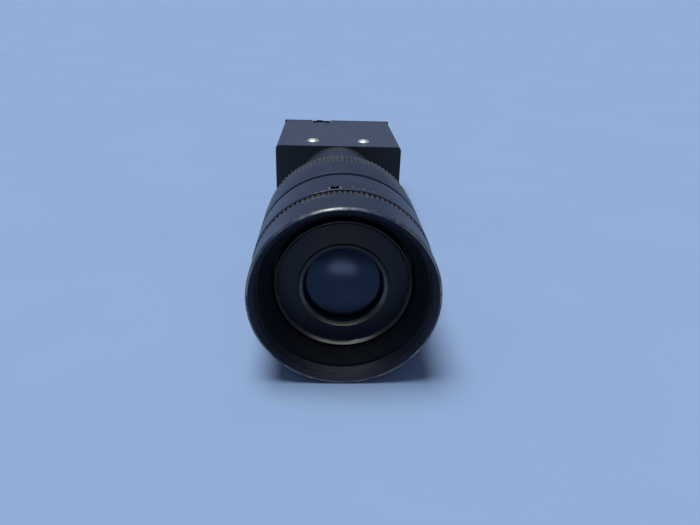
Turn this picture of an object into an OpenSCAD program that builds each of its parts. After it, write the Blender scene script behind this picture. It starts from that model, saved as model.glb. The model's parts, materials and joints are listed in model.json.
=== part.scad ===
// Compact box camera with a manual two-ring lens on a C-mount neck.
// Frame: origin at the mouth of the tripod thread, +Z up, the lens looks along -Y.
// Lens parts are built along the optical axis, where the local +Z is the
// distance in front of the body's front face and the local +Y is up.

/* [Body] */
// Width of the body across its two sides
body_w = 44.4; // [44:0.2:50]
// Height of the body from base to top cover
body_h = 29; // [29:0.5:34]
// Depth of the body from front face to rear panel
body_d = 50.4; // [50:0.2:60]
// Thickness of the folded cover sheet
cover_t = 1; // [0.8:0.1:1.2]
// Outside bend radius along the cover's long edges
bend_r = 1.3; // [1.2:0.1:2.5]
// Thickness of the base plate
base_t = 2; // [1.5:0.1:2.2]
// Depth of the solid front block
block_d = 10; // [9:0.5:10]
// Thickness of the block's lip in front of the cover
lip_t = 0.6; // [0.4:0.1:1]

/* [Neck] */
// Outer radius of the neck: mount ring, tube and lens rear
neck_r = 14.3; // [14:0.1:15]
// Length of the extension tube between camera and lens
tube_len = 23.5; // [22:0.5:30]
// Radius of the 1 inch camera lens thread
mount_thread_r = 12.7; // [12.7:0.1:12.7]
// Depth of the camera lens thread
mount_thread_len = 3.8; // [3.5:0.1:4]

/* [Lens] */
// Radius of the smooth barrel bands
barrel_r = 22; // [21.9:0.1:23]
// Radius over the knurled teeth and the front rim
knurl_r = 21.8; // [21.6:0.1:21.8]
// Number of knurled teeth round each ring
knurl_teeth = 110; // [90:1:120]
// Height of the knurled teeth
tooth_h = 0.45; // [0.3:0.05:0.6]
// Distance from the lens flange to the iris ring's rear shoulder
flange_to_iris = 13.4; // [13:0.1:14]
// Length of the iris ring
iris_ring_len = 20.6; // [20.6:0.1:22.5]
// Length of the fixed barrel's outer band
barrel_len = 13.3; // [13.3:0.1:14.5]
// Length of the focus ring in front of the fixed barrel
focus_ring_len = 12.4; // [12.4:0.1:14]
// Radius of the filter thread inside the front rim
filter_thread_r = 20; // [19.8:0.05:20.2]
// Forward travel of the lens cell
focus_travel = 2.5; // [2:0.1:2.5]

/* [Hidden] */

$fn = 96;
eps = 0.02;          // overshoot of a cutting shape
slip = 0.05;         // radial clearance of parts that turn or slide
seat = 0.02;         // radial clearance of parts that are fixed together

// Body places
tripod_setback = 22; // tripod thread behind the front face
axis_z = body_h / 2;
face_y = -tripod_setback;
inner_x = body_w / 2 - cover_t;
inner_top = body_h - cover_t;
panel_t = 1.6;
panel_s = -body_d;             // rear face of the rear panel
panel_front_s = panel_s + panel_t;
cover_back_s = panel_front_s;  // the cover ends against the full-size panel
tab_t = 1.5;
tab_back = 7;
tab_s = panel_front_s + tab_back;
side_tab_top = 12;

// Screws
top_screw_x = 9.2;
top_screw_s = -7.8;
small_shank_r = 1;
pan_head_r = 2.2;
pan_head_h = 1.1;
sink_r = 1.9;
sink_h = 0.9;
top_screw_len = 4.5;
side_screw_len = 3.2;
base_screw_len = 4.2;
blind_hole_d = 6;              // depth of the screw holes in the block and the rear tabs
cover_hole_d = 3;              // enough to pass the sheet or the base plate
screw_x = 16;
front_screw_s = -5;
rear_screw_s = panel_front_s + 3.3;
side_screw_z = 8;

// Base interfaces
tripod_r = 3.175;
tripod_depth = 6.5;
tripod_boss_r = 3.95;
base_boss_top = 7;
base_hole_r = 1.25;
base_hole_x = 15;
base_hole_y = 9;
base_hole_boss_r = 2.4;
base_hole_boss_top = 4.3;

// Camera mount stack, measured along the optical axis
ring_front_s = 4.5;
spigot_r = 11.9;
spigot_back_s = -6;
ring_bore_r = 10.3;
filter_r = 11.2;
filter_seat_s = -3.5;
gasket_t = 0.3;
filter_t = 1.3;
flange_focal = 17.526;
sensor_s = ring_front_s - flange_focal;

// Circuit boards
board_t = 1.6;
board_half_w = 19;
board_z = [7.5, 26];
window_t = 0.7;
package_t = 3.3;
sensor_board_s = sensor_s - package_t - board_t;
main_board_s = -27.6;
power_board_s = -37.6;
stud_r = 1;
stud_x = 16;
stud_z = [9.5, 24];
stud_depth = 4;
spacer_r = 1.9;
nut_r = 2.3;
nut_h = 1.6;

// Rear connectors
multi_x = -10;
multi_z = 12;
multi_r = 5;
multi_bore_r = 4.2;
video_x = 10;
video_z = 13;
video_r = 4.8;
video_bore_r = 4.1;
contact_r = 0.35;
outer_contacts_r = 2.9;        // ring of eight contacts
inner_contacts_r = 1.3;        // ring of four contacts
connector_flange_t = 1.2;
flange_s = panel_s - connector_flange_t;
multi_mouth_s = flange_s - 3.8;
multi_inner_s = panel_front_s + 2.8;
multi_flange_w = 1.3;
keyway_half_w = 0.6;
keyway_len = 2.5;
video_mouth_s = flange_s - 10.4;
video_inner_s = panel_front_s + 4;
video_flange_w = 1.7;
lug_s = video_mouth_s + 3;     // bayonet lugs on the video socket
lug_r = 0.95;
lug_h = 0.8;
video_core_r = 2.2;
video_contact_r = 0.9;
video_contact_bore_r = 0.5;
panel_nut_t = 1.6;
panel_nut_r = 7;

// Mode switch in the cover's rear notch
switch_x = [-10.6, -2.5];
switch_front_s = panel_s + 4.8;
switch_foot_s = panel_s + 7;
switch_foot_w = 1.6;
switch_foot_in = 0.6;
switch_foot_x = [switch_x[0] + switch_foot_in, switch_x[1] - switch_foot_in - switch_foot_w];
switch_gap = 0.15;
switch_top = body_h - 0.2;
slider_w = 2.4;
slider_travel = 2;
slider_gap = 0.1;
slider_rise = 0.5;
slot_x = [switch_x[0] + 1.8, switch_x[0] + 1.8 + slider_w + slider_travel + 2 * slider_gap];
slot_s = [panel_s + 1.4, panel_s + 3.4];
slot_d = 1.6;
switch_low = 22;               // underside of the switch body
switch_foot_low = 26.2;
notch_low = switch_low - switch_gap;  // the notch cuts down through everything above this
trimmer_x = 4;
trimmer_z = 22.5;
trimmer_r = 3;
trimmer_len = 4;
rotor_r = 1.5;
rotor_seat_s = panel_front_s + 2.2;
rotor_front_s = panel_front_s - 0.9;

// Lens places, measured along the optical axis
tube_front_s = ring_front_s + tube_len;
iris_back_s = tube_front_s + flange_to_iris;
iris_front_s = iris_back_s + iris_ring_len;
ring_gap = 0.9;
barrel_back_s = iris_front_s + ring_gap;
barrel_front_s = barrel_back_s + barrel_len;
focus_gap = 0.2;
focus_back_s = barrel_front_s + focus_gap;
rim_s = focus_back_s + focus_ring_len;

// Iris ring and what it runs on
shoulder_r = knurl_r - tooth_h - 0.15;  // plain steps beside the knurled bands
hub_r = 18.5;
hub_bore_r = 16.45;
web_t = 2;
hub_back_s = iris_back_s + web_t + 0.2;
hub_front_s = iris_front_s - 0.3;
iris_floor_s = hub_back_s + 2.4;
iris_floor_t = 1;
iris_wall_r = 13.2;
iris_clear_r = 8;
iris_housing_len = 4;
drive_s = iris_floor_s + 5.2;
drive_t = 2;
drive_ring_bore_r = 12.5;
drive_screw_s = drive_s + drive_t / 2;
drive_screw_angle = 250;
drive_screw_r = 0.9;
drive_head_r = 1.6;
drive_ring_reach = 1.6;  // how far the drive screw enters the drive ring
drive_head_sink = 1.2;   // depth of the head's seat under the ring's surface
iris_step = 2.0;         // plain step behind the iris ring's teeth
iris_knurl_len = 6.4;
iris_shoulder_len = 0.6; // low step in front of the teeth
iris_range = 75;
spigot_front_s = drive_s + drive_t + 0.4;

// Iris blades
blade_pivot_r = 11.6;
blade_pin_r = 0.5;
blade_lug_r = 1.1;
blade_in_r = 7.7;
blade_out_r = 10.6;
blade_span = 116;
blade_t = 0.2;
blade_step = 0.32;

// Fixed barrel and focus ring
barrel_bore_r = 20.45;
guide_out_r = 18.2;
guide_bore_r = 16.9;
barrel_web_t = 3;
web_bore_r = 13;
guide_pin_angles = [30, 150, 270];
guide_front_s = focus_back_s + 1.8;
skirt_back_s = barrel_back_s + barrel_web_t + 0.6;
pin_s = skirt_back_s + 5;
pin_r = 0.8;
pin_reach_r = 19.3;
channel_r = 19.5;
throat_r = 16.7;
throat_s = focus_back_s + 2.2;
throat_front_s = throat_s + 1;
cone_front_s = rim_s - 5;
cone_r = 19.6;
rim_inner_r = 21.3;
rim_bevel = 1.2;
focus_step = 0.2;        // plain step behind the focus ring's teeth
focus_knurl_len = 2.5;
focus_shoulder_len = 0.4;
barrel_bevel = 1.2;
lock_screw_angle = 96;
lock_screw_r = 1.1;
lock_screw_s = barrel_front_s - 1.7;

// Lens cell and glass
cell_r = guide_bore_r - slip;
cell_nose_r = 16;
cell_back_s = barrel_back_s + barrel_web_t + 0.2;
cell_front_s = rim_s - 7.9;
cell_nose_back_s = focus_back_s - 0.9;
name_seat_r = 15.2;
name_back_s = cell_front_s - 1.45;
glass_r = 10.6;
glass_show_r = 9.4;
glass_lap = 1.2;      // width of the ledges that hold a glass
nose_bevel = 0.8;        // inner bevel of the cell's front edge
bezel_r = 10.6;          // raised lip round the glass
bezel_w = 0.3;
bezel_s = cell_front_s + 0.5;
bezel_bevel = 0.6;
name_rise = 0.7;         // rise of the front ring from its edge to the lip
front_curve_r = 30;
spacer_back_s = name_back_s - 6.4;
spacer_front_s = name_back_s - 3.2;
glass_seat_s = name_back_s - 9.4;
rear_cell_r = 10.95;
rear_cell_back_s = tube_front_s - 1;
rear_cell_front_s = rear_cell_back_s + 17;
rear_glass_r = 9.6;
rear_glass_lap = 1.4;
rear_ring_t = 0.9;       // threaded ring that holds the rear glass
rear_glass_t = 3.4;      // depth of the seat at each end of the rear cell

// Places its children on the optical axis, local +Z to the front
module on_axis() {
    translate([0, face_y, axis_z]) rotate([90, 0, 0]) children();
}

// Box between x, z and s limits; s is the distance in front of the front face
module slab(x, z, s) {
    translate([x[0], face_y - s[1], z[0]]) cube([x[1] - x[0], s[1] - s[0], z[1] - z[0]]);
}

// Cylinder along the optical axis direction, at a place on the body
module axial(x, z, s, r, sides = $fn) {
    translate([x, face_y - s[0], z]) rotate([90, 0, 0]) cylinder(h = s[1] - s[0], r = r, $fn = sides);
}

// Round tube on the local Z axis
module tube(s, r_out, r_in) {
    translate([0, 0, s[0]]) difference() {
        cylinder(h = s[1] - s[0], r = r_out);
        translate([0, 0, -eps]) cylinder(h = s[1] - s[0] + 2 * eps, r = r_in);
    }
}

// Solid round bar on the local Z axis
module bar(s, r) {
    translate([0, 0, s[0]]) cylinder(h = s[1] - s[0], r = r);
}

// Solid cone on the local Z axis
module cone(s, r_back, r_front) {
    translate([0, 0, s[0]]) cylinder(h = s[1] - s[0], r1 = r_back, r2 = r_front);
}

// Radial bar that points outwards at an angle round the local Z axis
module radial(angle, s, r_from, r_to, r) {
    rotate(angle) translate([r_from, 0, s]) rotate([0, 90, 0]) cylinder(h = r_to - r_from, r = r, $fn = 32);
}

// Band of straight knurled teeth on the local Z axis
module knurl(s, r_tip) {
    step = 360 / knurl_teeth;
    points = [for (i = [0 : 2 * knurl_teeth - 1])
        let (r = i % 2 == 0 ? r_tip : r_tip - tooth_h, a = i * step / 2) [r * cos(a), r * sin(a)]];
    translate([0, 0, s[0]]) linear_extrude(s[1] - s[0]) polygon(points);
}

// Outline of the folded cover: square feet, round upper corners
module fold_outline(half_w, top, r) {
    union() {
        translate([-half_w, 0]) square([2 * half_w, top - r]);
        translate([-half_w + r, 0]) square([2 * (half_w - r), top]);
        for (side = [-1, 1]) translate([side * (half_w - r), top - r]) circle(r = r);
    }
}

module fold_prism(half_w, top, r, s) {
    translate([0, face_y - s[0], 0]) rotate([90, 0, 0]) {
        linear_extrude(s[1] - s[0]) fold_outline(half_w, top, r);
    }
}

// Countersunk screw pointing along the local -Z, head face at z = 0
module sunk_screw(length) {
    difference() {
        union() {
            translate([0, 0, -sink_h]) cylinder(h = sink_h, r1 = small_shank_r, r2 = sink_r, $fn = 48);
            translate([0, 0, -length]) cylinder(h = length - sink_h + eps, r = small_shank_r, $fn = 48);
        }
        cross_recess();
    }
}

// Clearance hole of a small screw, from z = 0 down
module screw_hole(depth) {
    translate([0, 0, -depth]) cylinder(h = depth + eps, r = small_shank_r + seat, $fn = 48);
}

// Hole for a countersunk screw, head face at z = 0
module sunk_hole(depth) {
    translate([0, 0, -sink_h]) cylinder(h = sink_h + eps, r1 = small_shank_r, r2 = sink_r + eps, $fn = 48);
    screw_hole(depth);
}

// Pan-head screw pointing along the local -Z, seated at z = 0
module pan_screw(length) {
    dome_r = 3.2;
    difference() {
        union() {
            intersection() {
                cylinder(h = pan_head_h, r = pan_head_r, $fn = 48);
                translate([0, 0, pan_head_h - dome_r]) sphere(r = dome_r);
            }
            translate([0, 0, -length]) cylinder(h = length + eps, r = small_shank_r, $fn = 48);
        }
        translate([0, 0, pan_head_h]) cross_recess();
    }
}

module cross_recess() {
    arm_len = 2.1;
    arm_w = 0.45;
    recess_d = 0.6;
    for (turn = [0, 90]) {
        rotate(turn) translate([-arm_len / 2, -arm_w / 2, -recess_d]) cube([arm_len, arm_w, 2 * recess_d]);
    }
}

// Places its children at the two front and two rear base screws
module at_base_screws() {
    for (x = [-screw_x, screw_x], s = [front_screw_s, rear_screw_s]) {
        translate([x, face_y - s, 0]) rotate([180, 0, 0]) children();
    }
}

// Places its children at the four side screws, pointing into the body
module at_side_screws() {
    for (side = [-1, 1], s = [front_screw_s, rear_screw_s]) {
        translate([side * body_w / 2, face_y - s, side_screw_z]) rotate([0, side * 90, 0]) children();
    }
}

module at_top_screws() {
    for (side = [-1, 1]) translate([side * top_screw_x, face_y - top_screw_s, body_h]) children();
}

module at_studs() {
    for (x = [-stud_x, stud_x], z = stud_z) translate([x, face_y, z]) rotate([90, 0, 0]) children();
}

// ---- Body ----

module front_block() {
    color("#26282b") difference() {
        union() {
            fold_prism(inner_x, inner_top, bend_r - cover_t + 0.1, [-block_d, 0]);
            fold_prism(body_w / 2, body_h, bend_r, [-lip_t, 0]);
        }
        slab([-inner_x, inner_x], [-eps, base_t], [-block_d - eps, eps]);
        on_axis() bar([-block_d - eps, eps], spigot_r + seat);
        on_axis() for (angle = [0, 180]) {
            radial(angle, spigot_back_s / 2, spigot_r - 1, inner_x + eps, small_shank_r + seat);
        }
        at_top_screws() screw_hole(blind_hole_d);
        at_base_screws() screw_hole(blind_hole_d);
        at_side_screws() screw_hole(blind_hole_d);
        at_studs() bar([-block_d - eps, -block_d + stud_depth], stud_r + seat);
    }
}

// Notch for the mode switch, with a narrow slot for each of its two feet
module switch_notch() {
    z = [notch_low, body_h + 1];
    slab(switch_x, z, [panel_s - 1, switch_front_s]);
    for (x = switch_foot_x) slab([x, x + switch_foot_w], z, [panel_s - 1, switch_foot_s]);
}

module top_cover() {
    color("#55595f") difference() {
        fold_prism(body_w / 2, body_h, bend_r, [cover_back_s, -lip_t]);
        fold_prism(inner_x, inner_top, bend_r - cover_t + 0.1, [cover_back_s - 1, 1]);
        switch_notch();
        at_top_screws() screw_hole(cover_hole_d);
        at_side_screws() sunk_hole(cover_hole_d);
    }
}

module base_plate() {
    color("#303338") difference() {
        union() {
            slab([-inner_x + seat, inner_x - seat], [0, base_t], [panel_front_s, 0]);
            cylinder(h = base_boss_top, r = tripod_boss_r);
            for (x = [-base_hole_x, base_hole_x], y = [-base_hole_y, base_hole_y]) {
                translate([x, y, 0]) cylinder(h = base_hole_boss_top, r = base_hole_boss_r);
            }
        }
        translate([0, 0, -eps]) cylinder(h = tripod_depth + eps, r = tripod_r);
        for (x = [-base_hole_x, base_hole_x], y = [-base_hole_y, base_hole_y]) {
            translate([x, y, -eps]) cylinder(h = base_hole_boss_top + 2 * eps, r = base_hole_r);
        }
        at_base_screws() sunk_hole(cover_hole_d);
    }
}

module rear_panel() {
    half_w = inner_x - seat;
    tab_length = [panel_front_s - eps, tab_s];
    color("#2b2d31") difference() {
        union() {
            slab([-body_w / 2, body_w / 2], [0, body_h], [panel_s, panel_front_s]);
            for (side = [0, 1]) mirror([side, 0, 0]) {
                slab([half_w - tab_t, half_w], [base_t + seat, side_tab_top], tab_length);
            }
            slab([-half_w, half_w], [base_t + seat, base_t + tab_t], tab_length);
        }
        switch_notch();
        axial(multi_x, multi_z, [panel_s - 1, panel_front_s + 1], multi_r + seat);
        axial(video_x, video_z, [panel_s - 1, panel_front_s + 1], video_r + seat);
        axial(trimmer_x, trimmer_z, [panel_s - 1, panel_front_s + 1], rotor_r + 0.2);
        at_base_screws() screw_hole(blind_hole_d);
        at_side_screws() screw_hole(blind_hole_d);
    }
}

module top_cover_screws() {
    color("#d9d6cc") at_top_screws() pan_screw(top_screw_len);
}

module side_cover_screws() {
    color("#8c8c88") at_side_screws() sunk_screw(side_screw_len);
}

module base_screws() {
    color("#8c8c88") at_base_screws() sunk_screw(base_screw_len);
}

// ---- Camera mount and sensor ----

module c_mount_ring() {
    color("#7c7f84") on_axis() difference() {
        union() {
            bar([0, ring_front_s], neck_r);
            bar([spigot_back_s, eps], spigot_r);
        }
        bar([ring_front_s - mount_thread_len, ring_front_s + eps], mount_thread_r);
        bar([spigot_back_s - eps, ring_front_s], ring_bore_r);
        bar([spigot_back_s - eps, filter_seat_s], filter_r + seat);
    }
}

module mount_set_screws() {
    set_screw_len = 5;
    color("#4a4c50") on_axis() for (angle = [0, 180]) {
        radial(angle, spigot_back_s / 2, spigot_r, spigot_r + set_screw_len, small_shank_r);
    }
}

module filter_gasket() {
    color("#1a1a1a") on_axis() tube([filter_seat_s - gasket_t, filter_seat_s], filter_r, ring_bore_r);
}

module infrared_filter() {
    back = filter_seat_s - gasket_t - filter_t;
    color("#8fb6b0", 0.6) on_axis() bar([back, back + filter_t], filter_r);
}

module filter_retainer() {
    color("#2a2c2f") on_axis() {
        tube([spigot_back_s, filter_seat_s - gasket_t - filter_t], filter_r, ring_bore_r);
    }
}

module sensor_package() {
    half_w = 10;
    half_h = 6.5;
    color("#6b5c4c") {
        slab([-half_w, half_w], [axis_z - half_h, axis_z + half_h], [sensor_s - package_t, sensor_s]);
    }
}

module sensor_window() {
    half_w = 7;
    half_h = 5.5;
    color("#405060", 0.6) {
        slab([-half_w, half_w], [axis_z - half_h, axis_z + half_h], [sensor_s, sensor_s + window_t]);
    }
}

// Circuit board with its four stud holes
module board(back_s) {
    difference() {
        slab([-board_half_w, board_half_w], board_z, [back_s, back_s + board_t]);
        at_studs() bar([back_s - eps, back_s + board_t + eps], stud_r + slip);
    }
}

module sensor_board() {
    color("#1f5c3a") board(sensor_board_s);
}

module main_board() {
    color("#1f5c3a") board(main_board_s);
}

module power_board() {
    color("#1f5c3a") board(power_board_s);
}

module board_spacers() {
    gaps = [
        [sensor_board_s + board_t, -block_d],
        [main_board_s + board_t, sensor_board_s],
        [power_board_s + board_t, main_board_s]
    ];
    color("#b9bcc0") at_studs() for (gap = gaps) tube(gap, spacer_r, stud_r + slip);
}

module board_studs() {
    color("#b9bcc0") at_studs() bar([power_board_s - nut_h - 0.5, -block_d + stud_depth], stud_r);
}

module board_nuts() {
    color("#c9cbce") at_studs() difference() {
        translate([0, 0, power_board_s - nut_h]) cylinder(h = nut_h, r = nut_r, $fn = 6);
        bar([power_board_s - nut_h - eps, power_board_s + eps], stud_r + seat);
    }
}

module board_connectors() {
    half_w = 9;
    z = [board_z[1] - 4, board_z[1] - 1];
    gaps = [[main_board_s + board_t, sensor_board_s], [power_board_s + board_t, main_board_s]];
    color("#17181a") for (gap = gaps) slab([-half_w, half_w], z, gap);
}

// ---- Rear panel pieces ----

module multi_pin_shell() {
    color("#a9abae") difference() {
        union() {
            axial(multi_x, multi_z, [multi_mouth_s, multi_inner_s], multi_r);
            axial(multi_x, multi_z, [flange_s, panel_s], multi_r + multi_flange_w);
        }
        axial(multi_x, multi_z, [multi_mouth_s - eps, multi_inner_s + eps], multi_bore_r);
        slab([multi_x - keyway_half_w, multi_x + keyway_half_w],
             [multi_z + multi_bore_r - 0.5, multi_z + multi_r + 1],
             [multi_mouth_s - eps, multi_mouth_s + keyway_len]);
    }
}

// One ring of round contacts in the multi-pin socket
module contact_ring(count, ring_r, s) {
    for (i = [0 : count - 1]) {
        angle = (i + 0.5) * 360 / count;
        axial(multi_x + ring_r * cos(angle), multi_z + ring_r * sin(angle), s, contact_r, 24);
    }
}

module multi_pin_contact_places(s) {
    contact_ring(8, outer_contacts_r, s);
    contact_ring(4, inner_contacts_r, s);
}

module multi_pin_insert() {
    color("#1c1d1f") difference() {
        axial(multi_x, multi_z, [flange_s - 0.4, panel_front_s + 2.4], multi_bore_r);
        multi_pin_contact_places([flange_s - 1, panel_front_s + 3]);
    }
}

module multi_pin_contacts() {
    color("#c8a44a") multi_pin_contact_places([flange_s - 3, panel_front_s + 4]);
}

// Thin hexagonal nut inside the rear panel
module panel_nut(x, z, bore_r) {
    difference() {
        translate([x, face_y - panel_front_s, z]) rotate([90, 30, 0]) {
            cylinder(h = panel_nut_t, r = panel_nut_r, $fn = 6);
        }
        axial(x, z, [panel_front_s - eps, panel_front_s + 2], bore_r + seat);
    }
}

module multi_pin_nut() {
    color("#b5b7ba") panel_nut(multi_x, multi_z, multi_r);
}

module video_socket_shell() {
    color("#b9bbbd") difference() {
        union() {
            axial(video_x, video_z, [video_mouth_s, video_inner_s], video_r);
            axial(video_x, video_z, [flange_s, panel_s], video_r + video_flange_w);
            for (turn = [0, 180]) {
                translate([video_x, face_y - lug_s, video_z]) rotate([90, turn, 0]) {
                    radial(0, 0, video_r - 0.3, video_r + lug_h, lug_r);
                }
            }
        }
        axial(video_x, video_z, [video_mouth_s - eps, video_inner_s + eps], video_bore_r);
    }
}

module video_socket_insulator() {
    core_front_s = flange_s - 8.4;
    color("#e6e4dc") difference() {
        union() {
            axial(video_x, video_z, [flange_s, video_inner_s], video_bore_r);
            axial(video_x, video_z, [core_front_s, flange_s + eps], video_core_r);
        }
        axial(video_x, video_z, [core_front_s - eps, video_inner_s + eps], video_contact_r);
    }
}

module video_socket_contact() {
    mouth_s = flange_s - 8;
    bore_len = 5;
    color("#c8a44a") difference() {
        axial(video_x, video_z, [mouth_s, video_inner_s + 2], video_contact_r);
        axial(video_x, video_z, [mouth_s - eps, mouth_s + bore_len], video_contact_bore_r, 24);
    }
}

module video_socket_nut() {
    color("#b5b7ba") panel_nut(video_x, video_z, video_r);
}

module mode_switch_body() {
    front_s = switch_front_s - switch_gap;
    color("#131416") difference() {
        union() {
            slab([switch_x[0] + switch_gap, switch_x[1] - switch_gap], [switch_low, switch_top],
                 [panel_s + 0.2, front_s]);
            for (x = switch_foot_x) {
                slab([x + switch_gap, x + switch_foot_w - switch_gap], [switch_foot_low, switch_top - 0.1],
                     [front_s - eps, switch_foot_s - switch_gap]);
            }
        }
        slab(slot_x, [switch_top - slot_d, switch_top + 1], slot_s);
    }
}

module mode_switch_slider() {
    color("#202124") slab(
        [slot_x[0] + slider_gap, slot_x[0] + slider_gap + slider_w],
        [switch_top - slot_d + slip, switch_top + slider_rise],
        [slot_s[0] + slip, slot_s[1] - slip]
    );
}

module gain_trimmer_case() {
    color("#2c4f8c") difference() {
        axial(trimmer_x, trimmer_z, [panel_front_s, panel_front_s + trimmer_len], trimmer_r);
        axial(trimmer_x, trimmer_z, [panel_front_s - eps, rotor_seat_s], rotor_r + slip);
    }
}

module gain_trimmer_rotor() {
    slot_half_len = 1.1;
    slot_half_w = 0.25;
    color("#d8d5c9") difference() {
        axial(trimmer_x, trimmer_z, [rotor_front_s, rotor_seat_s - slip], rotor_r);
        slab([trimmer_x - slot_half_len, trimmer_x + slot_half_len],
             [trimmer_z - slot_half_w, trimmer_z + slot_half_w],
             [rotor_front_s - eps, rotor_front_s + 0.6]);
    }
}

// ---- Neck ----

module extension_tube() {
    stop_w = 0.9;
    male_len = mount_thread_len - 0.3;
    female_len = mount_thread_len + 0.2;
    color("#3a3d42") on_axis() difference() {
        union() {
            bar([ring_front_s, tube_front_s], neck_r);
            bar([ring_front_s - male_len, ring_front_s + eps], mount_thread_r - seat);
        }
        bar([0, tube_front_s + eps], mount_thread_r - stop_w);
        bar([tube_front_s - female_len, tube_front_s + eps], mount_thread_r);
    }
}

module mount_barrel() {
    slot_spare = 6;        // degrees of slot beyond each end of the iris ring's travel
    slot_half_w = 1.2;
    color("#3a3d42") on_axis() difference() {
        union() {
            bar([tube_front_s - mount_thread_len, tube_front_s + eps], mount_thread_r - seat);
            bar([tube_front_s, hub_back_s + eps], neck_r);
            bar([hub_back_s, hub_front_s], hub_r);
        }
        bar([tube_front_s - mount_thread_len - eps, iris_floor_s + 1], rear_cell_r + slip);
        bar([iris_floor_s, hub_front_s + eps], hub_bore_r);
        rotate(drive_screw_angle - slot_spare) rotate_extrude(angle = iris_range + 2 * slot_spare) {
            translate([hub_bore_r - 1, drive_screw_s - slot_half_w]) {
                square([hub_r - hub_bore_r + 2, 2 * slot_half_w]);
            }
        }
    }
}

module rear_cell() {
    color("#222427") on_axis() difference() {
        bar([rear_cell_back_s, rear_cell_front_s], rear_cell_r);
        bar([rear_cell_back_s - eps, rear_cell_front_s + eps], rear_glass_r - rear_glass_lap);
        bar([rear_cell_back_s - eps, rear_cell_back_s + rear_glass_t], rear_glass_r + seat);
        bar([rear_cell_front_s - rear_glass_t, rear_cell_front_s + eps], rear_glass_r + seat);
    }
}

function sag(curve_r, r) = curve_r - sqrt(curve_r * curve_r - r * r);

// Round glass with two convex faces that meet flat seats at seat_r, between the two s values
module convex_glass(s, r, back_curve, front_curve, seat_r) {
    back_s = s[0] - sag(back_curve, seat_r);
    front_s = s[1] + sag(front_curve, seat_r);
    intersection() {
        bar([back_s, front_s], r);
        translate([0, 0, front_s - front_curve]) sphere(r = front_curve, $fn = 128);
        translate([0, 0, back_s + back_curve]) sphere(r = back_curve, $fn = 128);
    }
}

module rear_retaining_ring() {
    color("#222427") on_axis() {
        tube([rear_cell_back_s, rear_cell_back_s + rear_ring_t], rear_glass_r, rear_glass_r - 1);
    }
}

module rear_element() {
    curve_r = 45;
    back_s = rear_cell_back_s + rear_ring_t;
    color("#7d8fa8", 0.5) on_axis() {
        intersection() {
            bar([back_s, rear_cell_back_s + rear_glass_t], rear_glass_r);
            translate([0, 0, back_s + curve_r]) sphere(r = curve_r, $fn = 128);
        }
    }
}

module relay_element() {
    curve_r = 38;
    color("#7d8fa8", 0.5) on_axis() {
        intersection() {
            bar([rear_cell_front_s - rear_glass_t, rear_cell_front_s], rear_glass_r);
            translate([0, 0, rear_cell_front_s - curve_r]) sphere(r = curve_r, $fn = 128);
        }
    }
}

// ---- Iris ----

module iris_ring() {
    knurl_back = iris_back_s + iris_step;
    knurl_front = knurl_back + iris_knurl_len;
    smooth_s = knurl_front + iris_shoulder_len;
    color("#3b3f45") on_axis() difference() {
        union() {
            bar([iris_back_s, knurl_back + eps], shoulder_r);
            knurl([knurl_back, knurl_front], knurl_r);
            bar([knurl_front - eps, smooth_s + eps], shoulder_r);
            bar([smooth_s, iris_front_s], barrel_r);
        }
        bar([iris_back_s - eps, iris_back_s + web_t + eps], neck_r + 0.1);
        bar([iris_back_s + web_t, iris_front_s + eps], hub_r + slip);
        radial(drive_screw_angle, drive_screw_s, hub_r - 1, barrel_r + 1, drive_screw_r);
        radial(drive_screw_angle, drive_screw_s, barrel_r - drive_head_sink, barrel_r + 1, drive_head_r);
    }
}

// Screwdriver slot across a radial screw's head, for cutting; local +X points outwards
module driver_slot(floor_r, s, head_r, width) {
    translate([floor_r, -head_r - 0.2, s - width / 2]) cube([1, 2 * head_r + 0.4, width]);
}

module iris_drive_screw() {
    screw_tip_r = hub_bore_r - drive_ring_reach;
    seat_r = barrel_r - drive_head_sink;
    color("#8c8c88") on_axis() difference() {
        union() {
            radial(drive_screw_angle, drive_screw_s, screw_tip_r, seat_r + eps, drive_screw_r);
            radial(drive_screw_angle, drive_screw_s, seat_r, barrel_r - 0.3, drive_head_r);
        }
        rotate(drive_screw_angle) driver_slot(barrel_r - 0.8, drive_screw_s, drive_head_r, 0.4);
    }
}

module iris_drive_ring() {
    color("#5a5d61") on_axis() difference() {
        tube([drive_s, drive_s + drive_t], hub_bore_r - slip, drive_ring_bore_r);
        radial(drive_screw_angle, drive_screw_s, drive_ring_bore_r + 1, hub_bore_r + 1, drive_screw_r);
    }
}

module iris_housing() {
    color("#1d1e20") on_axis() difference() {
        bar([iris_floor_s, iris_floor_s + iris_housing_len], hub_bore_r - seat);
        bar([iris_floor_s - eps, iris_floor_s + iris_floor_t + eps], iris_clear_r);
        bar([iris_floor_s + iris_floor_t, iris_floor_s + iris_housing_len + eps], iris_wall_r);
        for (k = [0 : 5]) rotate(60 * k) translate([blade_pivot_r, 0, iris_floor_s + 0.3]) {
            cylinder(h = iris_floor_t, r = blade_pin_r + 0.03, $fn = 32);
        }
    }
}

module iris_cover_plate() {
    plate_t = 0.6;
    front_s = iris_floor_s + iris_housing_len;
    color("#1d1e20") on_axis() tube([front_s - plate_t, front_s], iris_wall_r - seat, iris_clear_r);
}

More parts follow.
